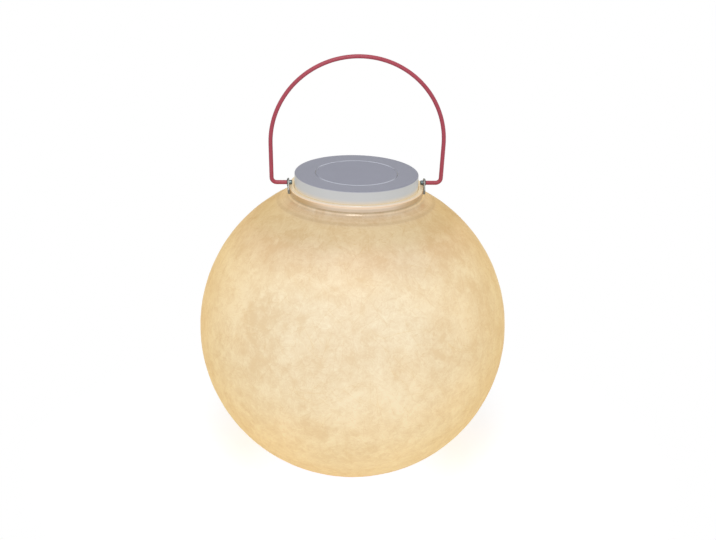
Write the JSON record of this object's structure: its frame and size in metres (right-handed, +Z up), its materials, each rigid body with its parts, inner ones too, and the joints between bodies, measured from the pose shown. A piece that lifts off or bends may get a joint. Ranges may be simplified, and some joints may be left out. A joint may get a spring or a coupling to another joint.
{
  "type": "garden globe light",
  "caption": "Portable garden light: mottled resin globe with a steel collar, a swinging wire bail and a lift-out rechargeable light unit with a push-pad top.",
  "frame": {"origin": "on the floor under the centre of the globe, at the centre of the rubber foot ring's lower face", "axes": "+Z up through the globe, neck and lid; +X along the bail's pivots, to the right seen from the front; -Y is the front, +Y the back with the charging port and the collar's clamp screw"},
  "size_m": [0.2999, 0.3, 0.4208],
  "materials": {
    "globe_resin": "thin fibre resin, mottled, lit from inside, satin",
    "soft_rubber": "matt moulded rubber",
    "collar_steel": "polished stainless strip",
    "fastener_steel": "bright stainless",
    "bush_polymer": "grey-brown moulded polymer",
    "bail_red": "raspberry red powder coat",
    "cap_steel": "dark plated steel",
    "lid_grey": "light grey moulded plastic, satin",
    "pad_grey": "light grey moulded plastic, satin",
    "door_grey": "light grey moulded plastic, satin",
    "tub_white": "white moulded plastic, matt",
    "opal": "opal acrylic, lit",
    "plate_aluminium": "satin, white solder mask",
    "chip_yellow": "phosphor under clear silicone, lit",
    "cell_wrap": "blue shrink wrap over the can",
    "strap_nickel": "bright nickel strip",
    "lead_red": "insulated wire",
    "board_green": "green solder mask",
    "component_black": "moulded component bodies",
    "plunger_red": "moulded nylon",
    "socket_steel": "bright stamped steel",
    "spring_steel": "drawn spring wire"
  },
  "bodies": {
    "root": {"globe_shell": "globe_resin", "foot_ring": "soft_rubber", "neck_gasket": "soft_rubber", "collar_band": "collar_steel", "clamp_screw": "fastener_steel", "clamp_nut": "fastener_steel", "ear_bushes": "bush_polymer"},
    "bail": {"bail_handle": "bail_red", "bail_stop_caps": "cap_steel"},
    "light_unit": {"lid_shell": "lid_grey", "lid_ring": "soft_rubber", "core_tub": "tub_white", "tub_screws": "fastener_steel", "board_carrier": "tub_white", "battery_cradle": "tub_white", "battery_cells": "cell_wrap", "cell_straps": "strap_nickel", "battery_leads": "lead_red", "led_leads": "lead_red", "control_board": "board_green", "board_screws": "fastener_steel", "board_components": "component_black", "charging_socket": "socket_steel", "door_pin": "fastener_steel", "switch_body": "component_black", "light_plate": "plate_aluminium", "plate_screws": "fastener_steel", "light_chips": "chip_yellow", "diffuser_dome": "opal", "button_spring": "spring_steel"},
    "power_button": {"power_pad": "pad_grey", "switch_plunger": "plunger_red"},
    "charge_door": {"port_door": "door_grey"}
  },
  "joints": [
    {"name": "bail_swing", "type": "hinge", "parent": "root", "child": "bail", "pos_m": [0, 0, 0.29489], "axis": [1, 0, 0], "range_deg": [-112, 112]},
    {"name": "light_unit_lift", "type": "slide", "parent": "root", "child": "light_unit", "axis": [0, 0, 1], "range_m": [0, 0.075]},
    {"name": "power_press", "type": "slide", "parent": "light_unit", "child": "power_button", "axis": [0, 0, -1], "range_m": [0, 0.0015], "stiffness_N_per_m": 1500, "springref_m": -0.001, "deforming": ["button_spring"]},
    {"name": "port_door_swing", "type": "hinge", "parent": "light_unit", "child": "charge_door", "pos_m": [0, 0.0581, 0.29974], "axis": [1, 0, 0], "range_deg": [0, 80]}
  ]
}
